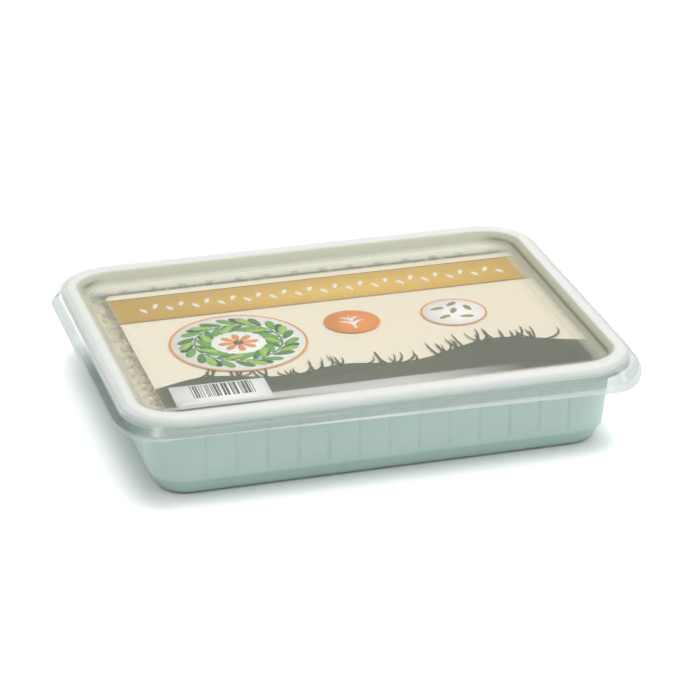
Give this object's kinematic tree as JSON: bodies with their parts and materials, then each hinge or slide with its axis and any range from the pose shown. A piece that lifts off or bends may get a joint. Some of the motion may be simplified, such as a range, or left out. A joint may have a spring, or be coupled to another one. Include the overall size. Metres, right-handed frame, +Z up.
{
  "type": "lidded grass growing tray",
  "caption": "Closed tray for growing grass: fluted plastic tray filled with medium and seeds, a printed card on top and a clear recessed lid with a flared skirt.",
  "frame": {"origin": "on the surface that the tray stands on, under the middle of the lid", "axes": "+X along the long side, +Z up, the front long side faces -Y"},
  "size_m": [0.1946, 0.1548, 0.0345],
  "materials": {
    "mint_plastic": "satin thermoformed sheet, pale mint",
    "growing_medium": "coarse fibrous granules, matt",
    "seeds": "husked grains, matt with a faint sheen",
    "printed_card": "printed, lightly coated",
    "clear_plastic": "clear thermoformed sheet, slightly hazy"
  },
  "bodies": {
    "root": {"tray": "mint_plastic", "growing_medium": "growing_medium", "seed_layer": "seeds", "printed_card": "printed_card", "lid": "clear_plastic"}
  },
  "joints": []
}
